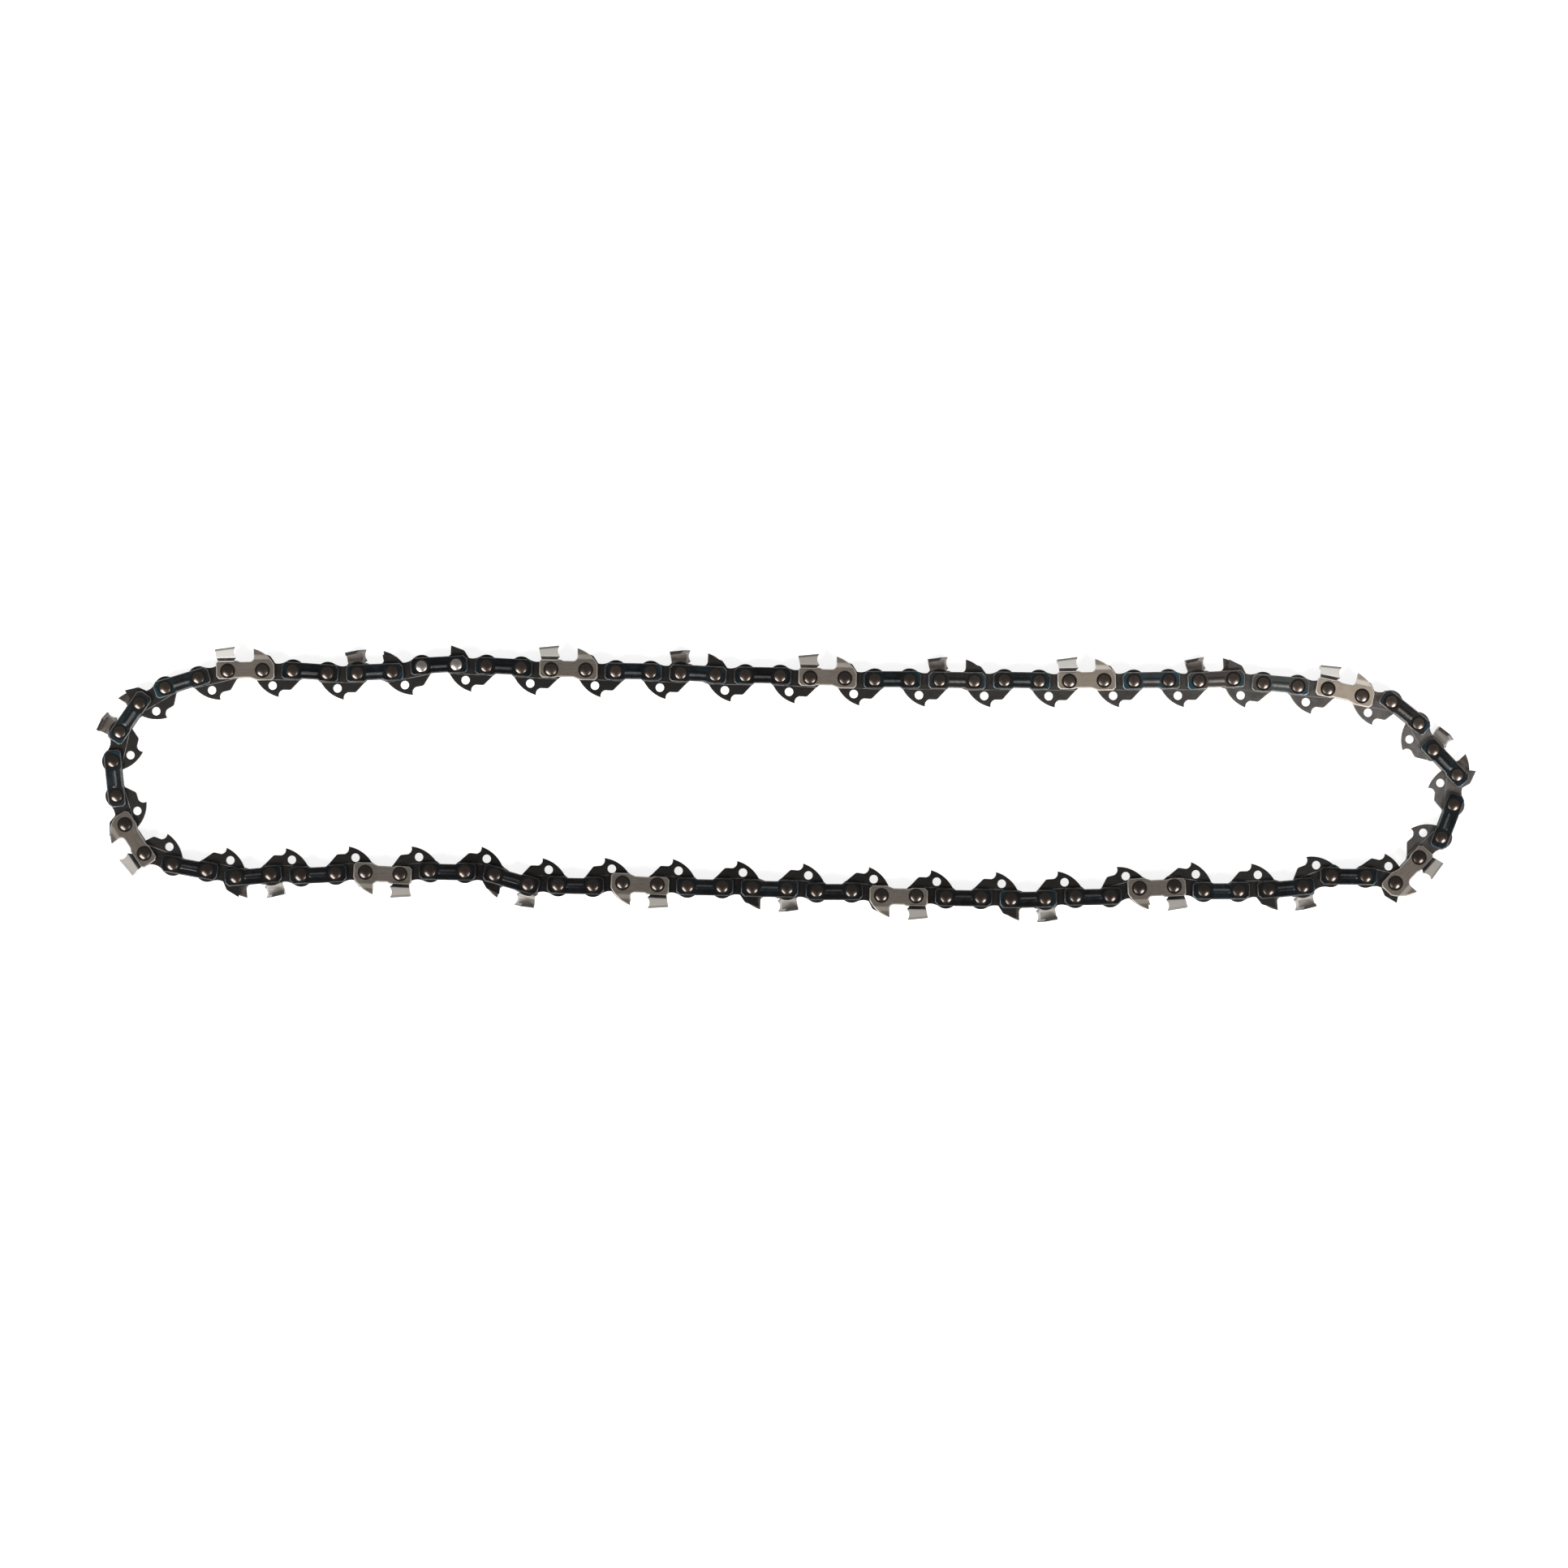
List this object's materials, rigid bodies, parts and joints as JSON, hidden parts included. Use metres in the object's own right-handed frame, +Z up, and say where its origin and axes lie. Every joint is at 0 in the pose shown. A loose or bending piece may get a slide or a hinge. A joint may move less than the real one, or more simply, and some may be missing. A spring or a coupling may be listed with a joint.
{
  "type": "saw chain loop",
  "caption": "Closed loop of low-profile saw chain lying flat on its side, with riveted left and right cutters, tie straps, drive links with oil holes, and bumper drive links.",
  "frame": {"origin": "centre of the bounding box at ground level, where the loop lies on its left-hand cutters", "axes": "+X along the loop's length to the right in the picture, +Y across the loop to the upper run, +Z up"},
  "size_m": [0.4062, 0.0816, 0.0062],
  "materials": {
    "strap_steel": "blued, satin",
    "drive_steel": "dark oxide, satin",
    "cutter_steel": "bronze-grey plated, satin",
    "rivet_steel": "dark, polished"
  },
  "bodies": {
    "left_bend": {"left_bend_drive_links": "drive_steel", "left_bend_right_cutters": "cutter_steel", "left_bend_left_cutters": "cutter_steel", "left_bend_tie_straps": "strap_steel", "left_bend_rivets": "rivet_steel"},
    "right_bend": {"right_bend_drive_links": "drive_steel", "right_bend_right_cutters": "cutter_steel", "right_bend_left_cutters": "cutter_steel", "right_bend_tie_straps": "strap_steel", "right_bend_rivets": "rivet_steel"},
    "link_04_joining_straps": {"link_04_joining_straps": "strap_steel"},
    "link_05_tie_straps": {"link_05_tie_straps": "strap_steel"},
    "link_06_right_cutter": {"link_06_right_cutter": "cutter_steel"},
    "link_07_tie_straps": {"link_07_tie_straps": "strap_steel"},
    "link_08_left_cutter": {"link_08_left_cutter": "cutter_steel"},
    "link_09_tie_straps": {"link_09_tie_straps": "strap_steel"},
    "link_10_right_cutter": {"link_10_right_cutter": "cutter_steel"},
    "link_11_tie_straps": {"link_11_tie_straps": "strap_steel"},
    "link_12_left_cutter": {"link_12_left_cutter": "cutter_steel"},
    "link_13_tie_straps": {"link_13_tie_straps": "strap_steel"},
    "link_14_right_cutter": {"link_14_right_cutter": "cutter_steel"},
    "link_15_tie_straps": {"link_15_tie_straps": "strap_steel"},
    "link_16_left_cutter": {"link_16_left_cutter": "cutter_steel"},
    "link_39_tie_straps": {"link_39_tie_straps": "strap_steel"},
    "link_38_right_cutter": {"link_38_right_cutter": "cutter_steel"},
    "link_37_tie_straps": {"link_37_tie_straps": "strap_steel"},
    "link_35_tie_straps": {"link_35_tie_straps": "strap_steel"},
    "link_34_right_cutter": {"link_34_right_cutter": "cutter_steel"},
    "link_33_tie_straps": {"link_33_tie_straps": "strap_steel"},
    "link_32_left_cutter": {"link_32_left_cutter": "cutter_steel"},
    "link_31_tie_straps": {"link_31_tie_straps": "strap_steel"},
    "link_30_right_cutter": {"link_30_right_cutter": "cutter_steel"},
    "link_29_tie_straps": {"link_29_tie_straps": "strap_steel"},
    "link_28_left_cutter": {"link_28_left_cutter": "cutter_steel"},
    "link_27_tie_straps": {"link_27_tie_straps": "strap_steel"},
    "link_26_right_cutter": {"link_26_right_cutter": "cutter_steel"},
    "link_04_bumper_drive_link": {"link_04_bumper_drive_link": "drive_steel"},
    "link_05_drive_link": {"link_05_drive_link": "drive_steel"},
    "link_06_bumper_drive_link": {"link_06_bumper_drive_link": "drive_steel"},
    "link_07_drive_link": {"link_07_drive_link": "drive_steel"},
    "link_08_bumper_drive_link": {"link_08_bumper_drive_link": "drive_steel"},
    "link_09_drive_link": {"link_09_drive_link": "drive_steel"},
    "link_10_bumper_drive_link": {"link_10_bumper_drive_link": "drive_steel"},
    "link_11_drive_link": {"link_11_drive_link": "drive_steel"},
    "link_12_bumper_drive_link": {"link_12_bumper_drive_link": "drive_steel"},
    "link_13_drive_link": {"link_13_drive_link": "drive_steel"},
    "link_14_bumper_drive_link": {"link_14_bumper_drive_link": "drive_steel"},
    "link_15_drive_link": {"link_15_drive_link": "drive_steel"},
    "link_26_bumper_drive_link": {"link_26_bumper_drive_link": "drive_steel"},
    "link_27_drive_link": {"link_27_drive_link": "drive_steel"},
    "link_28_bumper_drive_link": {"link_28_bumper_drive_link": "drive_steel"},
    "link_29_drive_link": {"link_29_drive_link": "drive_steel"},
    "link_30_bumper_drive_link": {"link_30_bumper_drive_link": "drive_steel"},
    "link_31_drive_link": {"link_31_drive_link": "drive_steel"},
    "link_32_bumper_drive_link": {"link_32_bumper_drive_link": "drive_steel"},
    "link_33_drive_link": {"link_33_drive_link": "drive_steel"},
    "link_34_bumper_drive_link": {"link_34_bumper_drive_link": "drive_steel"},
    "link_35_drive_link": {"link_35_drive_link": "drive_steel"},
    "link_37_drive_link": {"link_37_drive_link": "drive_steel"},
    "link_38_bumper_drive_link": {"link_38_bumper_drive_link": "drive_steel"}
  },
  "joints": [
    {"name": "rivet_07_hinge", "type": "hinge", "parent": "left_bend", "child": "link_04_joining_straps", "pos_m": [-0.10708, 0.03455, 0.0031], "axis": [0, 0, 1], "range_deg": [-20, 20]},
    {"name": "rivet_08_hinge", "type": "hinge", "parent": "link_04_joining_straps", "child": "link_04_bumper_drive_link", "pos_m": [-0.09687, 0.03508, 0.0031], "axis": [0, 0, 1], "range_deg": [-20, 20]},
    {"name": "rivet_09_hinge", "type": "hinge", "parent": "link_04_bumper_drive_link", "child": "link_05_tie_straps", "pos_m": [-0.08805, 0.03462, 0.0031], "axis": [0, 0, 1], "range_deg": [-20, 20]},
    {"name": "rivet_10_hinge", "type": "hinge", "parent": "link_05_tie_straps", "child": "link_05_drive_link", "pos_m": [-0.07785, 0.03409, 0.0031], "axis": [0, 0, 1], "range_deg": [-20, 20]},
    {"name": "rivet_11_hinge", "type": "hinge", "parent": "link_05_drive_link", "child": "link_06_right_cutter", "pos_m": [-0.06903, 0.03363, 0.0031], "axis": [0, 0, 1], "range_deg": [-20, 20]},
    {"name": "rivet_12_hinge", "type": "hinge", "parent": "link_06_right_cutter", "child": "link_06_bumper_drive_link", "pos_m": [-0.05881, 0.03345, 0.0031], "axis": [0, 0, 1], "range_deg": [-20, 20]},
    {"name": "rivet_13_hinge", "type": "hinge", "parent": "link_06_bumper_drive_link", "child": "link_07_tie_straps", "pos_m": [-0.04999, 0.033, 0.0031], "axis": [0, 0, 1], "range_deg": [-20, 20]},
    {"name": "rivet_14_hinge", "type": "hinge", "parent": "link_07_tie_straps", "child": "link_07_drive_link", "pos_m": [-0.03977, 0.03282, 0.0031], "axis": [0, 0, 1], "range_deg": [-20, 20]},
    {"name": "rivet_15_hinge", "type": "hinge", "parent": "link_07_drive_link", "child": "link_08_left_cutter", "pos_m": [-0.03095, 0.03251, 0.0031], "axis": [0, 0, 1], "range_deg": [-20, 20]},
    {"name": "rivet_16_hinge", "type": "hinge", "parent": "link_08_left_cutter", "child": "link_08_bumper_drive_link", "pos_m": [-0.02074, 0.03198, 0.0031], "axis": [0, 0, 1], "range_deg": [-20, 20]},
    {"name": "rivet_17_hinge", "type": "hinge", "parent": "link_08_bumper_drive_link", "child": "link_09_tie_straps", "pos_m": [-0.01191, 0.03183, 0.0031], "axis": [0, 0, 1], "range_deg": [-20, 20]},
    {"name": "rivet_18_hinge", "type": "hinge", "parent": "link_09_tie_straps", "child": "link_09_drive_link", "pos_m": [-0.00169, 0.03165, 0.0031], "axis": [0, 0, 1], "range_deg": [-20, 20]},
    {"name": "rivet_19_hinge", "type": "hinge", "parent": "link_09_drive_link", "child": "link_10_right_cutter", "pos_m": [0.00712, 0.03119, 0.0031], "axis": [0, 0, 1], "range_deg": [-20, 20]},
    {"name": "rivet_20_hinge", "type": "hinge", "parent": "link_10_right_cutter", "child": "link_10_bumper_drive_link", "pos_m": [0.01734, 0.03101, 0.0031], "axis": [0, 0, 1], "range_deg": [-20, 20]},
    {"name": "rivet_21_hinge", "type": "hinge", "parent": "link_10_bumper_drive_link", "child": "link_11_tie_straps", "pos_m": [0.02616, 0.03055, 0.0031], "axis": [0, 0, 1], "range_deg": [-20, 20]},
    {"name": "rivet_22_hinge", "type": "hinge", "parent": "link_11_tie_straps", "child": "link_11_drive_link", "pos_m": [0.03638, 0.03055, 0.0031], "axis": [0, 0, 1], "range_deg": [-20, 20]},
    {"name": "rivet_23_hinge", "type": "hinge", "parent": "link_11_drive_link", "child": "link_12_left_cutter", "pos_m": [0.04521, 0.0304, 0.0031], "axis": [0, 0, 1], "range_deg": [-20, 20]},
    {"name": "rivet_24_hinge", "type": "hinge", "parent": "link_12_left_cutter", "child": "link_12_bumper_drive_link", "pos_m": [0.05543, 0.03022, 0.0031], "axis": [0, 0, 1], "range_deg": [-20, 20]},
    {"name": "rivet_25_hinge", "type": "hinge", "parent": "link_12_bumper_drive_link", "child": "link_13_tie_straps", "pos_m": [0.06426, 0.03038, 0.0031], "axis": [0, 0, 1], "range_deg": [-20, 20]},
    {"name": "rivet_26_hinge", "type": "hinge", "parent": "link_13_tie_straps", "child": "link_13_drive_link", "pos_m": [0.07447, 0.0302, 0.0031], "axis": [0, 0, 1], "range_deg": [-20, 20]},
    {"name": "rivet_27_hinge", "type": "hinge", "parent": "link_13_drive_link", "child": "link_14_right_cutter", "pos_m": [0.0833, 0.0302, 0.0031], "axis": [0, 0, 1], "range_deg": [-20, 20]},
    {"name": "rivet_28_hinge", "type": "hinge", "parent": "link_14_right_cutter", "child": "link_14_bumper_drive_link", "pos_m": [0.09352, 0.03038, 0.0031], "axis": [0, 0, 1], "range_deg": [-20, 20]},
    {"name": "rivet_29_hinge", "type": "hinge", "parent": "link_14_bumper_drive_link", "child": "link_15_tie_straps", "pos_m": [0.10235, 0.03023, 0.0031], "axis": [0, 0, 1], "range_deg": [-20, 20]},
    {"name": "rivet_30_hinge", "type": "hinge", "parent": "link_15_tie_straps", "child": "link_15_drive_link", "pos_m": [0.11257, 0.03041, 0.0031], "axis": [0, 0, 1], "range_deg": [-20, 20]},
    {"name": "rivet_31_hinge", "type": "hinge", "parent": "link_15_drive_link", "child": "link_16_left_cutter", "pos_m": [0.1214, 0.03026, 0.0031], "axis": [0, 0, 1], "range_deg": [-20, 20]},
    {"name": "rivet_32_hinge", "type": "hinge", "parent": "link_16_left_cutter", "child": "right_bend", "pos_m": [0.1316, 0.03079, 0.0031], "axis": [0, 0, 1], "range_deg": [-20, 20]},
    {"name": "rivet_78_hinge", "type": "hinge", "parent": "left_bend", "child": "link_39_tie_straps", "pos_m": [-0.14265, -0.02685, 0.0031], "axis": [0, 0, 1], "range_deg": [-20, 20]},
    {"name": "rivet_77_hinge", "type": "hinge", "parent": "link_39_tie_straps", "child": "link_38_bumper_drive_link", "pos_m": [-0.13244, -0.02631, 0.0031], "axis": [0, 0, 1], "range_deg": [-20, 20]},
    {"name": "rivet_76_hinge", "type": "hinge", "parent": "link_38_bumper_drive_link", "child": "link_38_right_cutter", "pos_m": [-0.12362, -0.026, 0.0031], "axis": [0, 0, 1], "range_deg": [-20, 20]},
    {"name": "rivet_75_hinge", "type": "hinge", "parent": "link_38_right_cutter", "child": "link_37_drive_link", "pos_m": [-0.11341, -0.02654, 0.0031], "axis": [0, 0, 1], "range_deg": [-20, 20]},
    {"name": "rivet_74_hinge", "type": "hinge", "parent": "link_37_drive_link", "child": "link_37_tie_straps", "pos_m": [-0.10463, -0.02561, 0.0031], "axis": [0, 0, 1], "range_deg": [-20, 20]},
    {"name": "rivet_73_hinge", "type": "hinge", "parent": "link_37_tie_straps", "child": "link_35_drive_link", "pos_m": [-0.09441, -0.02579, 0.0031], "axis": [0, 0, 1], "range_deg": [-20, 20]},
    {"name": "rivet_70_hinge", "type": "hinge", "parent": "link_35_drive_link", "child": "link_35_tie_straps", "pos_m": [-0.06698, -0.02971, 0.0031], "axis": [0, 0, 1], "range_deg": [-20, 20]},
    {"name": "rivet_69_hinge", "type": "hinge", "parent": "link_35_tie_straps", "child": "link_34_bumper_drive_link", "pos_m": [-0.05677, -0.02989, 0.0031], "axis": [0, 0, 1], "range_deg": [-20, 20]},
    {"name": "rivet_68_hinge", "type": "hinge", "parent": "link_34_bumper_drive_link", "child": "link_34_right_cutter", "pos_m": [-0.04797, -0.02912, 0.0031], "axis": [0, 0, 1], "range_deg": [-20, 20]},
    {"name": "rivet_67_hinge", "type": "hinge", "parent": "link_34_right_cutter", "child": "link_33_drive_link", "pos_m": [-0.03776, -0.02965, 0.0031], "axis": [0, 0, 1], "range_deg": [-20, 20]},
    {"name": "rivet_66_hinge", "type": "hinge", "parent": "link_33_drive_link", "child": "link_33_tie_straps", "pos_m": [-0.02895, -0.03012, 0.0031], "axis": [0, 0, 1], "range_deg": [-20, 20]},
    {"name": "rivet_65_hinge", "type": "hinge", "parent": "link_33_tie_straps", "child": "link_32_bumper_drive_link", "pos_m": [-0.01873, -0.0303, 0.0031], "axis": [0, 0, 1], "range_deg": [-20, 20]},
    {"name": "rivet_64_hinge", "type": "hinge", "parent": "link_32_bumper_drive_link", "child": "link_32_left_cutter", "pos_m": [-0.0099, -0.03061, 0.0031], "axis": [0, 0, 1], "range_deg": [-20, 20]},
    {"name": "rivet_63_hinge", "type": "hinge", "parent": "link_32_left_cutter", "child": "link_31_drive_link", "pos_m": [0.00032, -0.03079, 0.0031], "axis": [0, 0, 1], "range_deg": [-20, 20]},
    {"name": "rivet_62_hinge", "type": "hinge", "parent": "link_31_drive_link", "child": "link_31_tie_straps", "pos_m": [0.00911, -0.03156, 0.0031], "axis": [0, 0, 1], "range_deg": [-20, 20]},
    {"name": "rivet_61_hinge", "type": "hinge", "parent": "link_31_tie_straps", "child": "link_30_bumper_drive_link", "pos_m": [0.01933, -0.03156, 0.0031], "axis": [0, 0, 1], "range_deg": [-20, 20]},
    {"name": "rivet_60_hinge", "type": "hinge", "parent": "link_30_bumper_drive_link", "child": "link_30_right_cutter", "pos_m": [0.02807, -0.0328, 0.0031], "axis": [0, 0, 1], "range_deg": [-20, 20]},
    {"name": "rivet_59_hinge", "type": "hinge", "parent": "link_30_right_cutter", "child": "link_29_drive_link", "pos_m": [0.03829, -0.03298, 0.0031], "axis": [0, 0, 1], "range_deg": [-20, 20]},
    {"name": "rivet_58_hinge", "type": "hinge", "parent": "link_29_drive_link", "child": "link_29_tie_straps", "pos_m": [0.04712, -0.03329, 0.0031], "axis": [0, 0, 1], "range_deg": [-20, 20]},
    {"name": "rivet_57_hinge", "type": "hinge", "parent": "link_29_tie_straps", "child": "link_28_bumper_drive_link", "pos_m": [0.05734, -0.03347, 0.0031], "axis": [0, 0, 1], "range_deg": [-20, 20]},
    {"name": "rivet_56_hinge", "type": "hinge", "parent": "link_28_bumper_drive_link", "child": "link_28_left_cutter", "pos_m": [0.06615, -0.03394, 0.0031], "axis": [0, 0, 1], "range_deg": [-20, 20]},
    {"name": "rivet_55_hinge", "type": "hinge", "parent": "link_28_left_cutter", "child": "link_27_drive_link", "pos_m": [0.07637, -0.03376, 0.0031], "axis": [0, 0, 1], "range_deg": [-20, 20]},
    {"name": "rivet_54_hinge", "type": "hinge", "parent": "link_27_drive_link", "child": "link_27_tie_straps", "pos_m": [0.08518, -0.03314, 0.0031], "axis": [0, 0, 1], "range_deg": [-20, 20]},
    {"name": "rivet_53_hinge", "type": "hinge", "parent": "link_27_tie_straps", "child": "link_26_bumper_drive_link", "pos_m": [0.0954, -0.03296, 0.0031], "axis": [0, 0, 1], "range_deg": [-20, 20]},
    {"name": "rivet_52_hinge", "type": "hinge", "parent": "link_26_bumper_drive_link", "child": "link_26_right_cutter", "pos_m": [0.10393, -0.03067, 0.0031], "axis": [0, 0, 1], "range_deg": [-20, 20]}
  ],
  "couplings": [
    {"joint": "rivet_08_hinge", "follows": "rivet_07_hinge", "ratio": -1},
    {"joint": "rivet_10_hinge", "follows": "rivet_09_hinge", "ratio": -1},
    {"joint": "rivet_12_hinge", "follows": "rivet_11_hinge", "ratio": -1},
    {"joint": "rivet_14_hinge", "follows": "rivet_13_hinge", "ratio": -1},
    {"joint": "rivet_16_hinge", "follows": "rivet_15_hinge", "ratio": -1},
    {"joint": "rivet_18_hinge", "follows": "rivet_17_hinge", "ratio": -1},
    {"joint": "rivet_20_hinge", "follows": "rivet_19_hinge", "ratio": -1},
    {"joint": "rivet_22_hinge", "follows": "rivet_21_hinge", "ratio": -1},
    {"joint": "rivet_24_hinge", "follows": "rivet_23_hinge", "ratio": -1},
    {"joint": "rivet_26_hinge", "follows": "rivet_25_hinge", "ratio": -1},
    {"joint": "rivet_28_hinge", "follows": "rivet_27_hinge", "ratio": -1},
    {"joint": "rivet_30_hinge", "follows": "rivet_29_hinge", "ratio": -1},
    {"joint": "rivet_32_hinge", "follows": "rivet_31_hinge", "ratio": -1},
    {"joint": "rivet_78_hinge", "follows": "rivet_07_hinge", "ratio": 1},
    {"joint": "rivet_77_hinge", "follows": "rivet_07_hinge", "ratio": -1},
    {"joint": "rivet_76_hinge", "follows": "rivet_09_hinge", "ratio": 1},
    {"joint": "rivet_75_hinge", "follows": "rivet_09_hinge", "ratio": -1},
    {"joint": "rivet_74_hinge", "follows": "rivet_11_hinge", "ratio": 1},
    {"joint": "rivet_73_hinge", "follows": "rivet_11_hinge", "ratio": -1},
    {"joint": "rivet_70_hinge", "follows": "rivet_13_hinge", "ratio": 1},
    {"joint": "rivet_69_hinge", "follows": "rivet_13_hinge", "ratio": -1},
    {"joint": "rivet_68_hinge", "follows": "rivet_15_hinge", "ratio": 1},
    {"joint": "rivet_67_hinge", "follows": "rivet_15_hinge", "ratio": -1},
    {"joint": "rivet_66_hinge", "follows": "rivet_17_hinge", "ratio": 1},
    {"joint": "rivet_65_hinge", "follows": "rivet_17_hinge", "ratio": -1},
    {"joint": "rivet_64_hinge", "follows": "rivet_19_hinge", "ratio": 1},
    {"joint": "rivet_63_hinge", "follows": "rivet_19_hinge", "ratio": -1},
    {"joint": "rivet_62_hinge", "follows": "rivet_21_hinge", "ratio": 1},
    {"joint": "rivet_61_hinge", "follows": "rivet_21_hinge", "ratio": -1},
    {"joint": "rivet_60_hinge", "follows": "rivet_23_hinge", "ratio": 1},
    {"joint": "rivet_59_hinge", "follows": "rivet_23_hinge", "ratio": -1},
    {"joint": "rivet_58_hinge", "follows": "rivet_25_hinge", "ratio": 1},
    {"joint": "rivet_57_hinge", "follows": "rivet_25_hinge", "ratio": -1},
    {"joint": "rivet_56_hinge", "follows": "rivet_27_hinge", "ratio": 1},
    {"joint": "rivet_55_hinge", "follows": "rivet_27_hinge", "ratio": -1},
    {"joint": "rivet_54_hinge", "follows": "rivet_29_hinge", "ratio": 1},
    {"joint": "rivet_53_hinge", "follows": "rivet_29_hinge", "ratio": -1},
    {"joint": "rivet_52_hinge", "follows": "rivet_31_hinge", "ratio": 1}
  ]
}
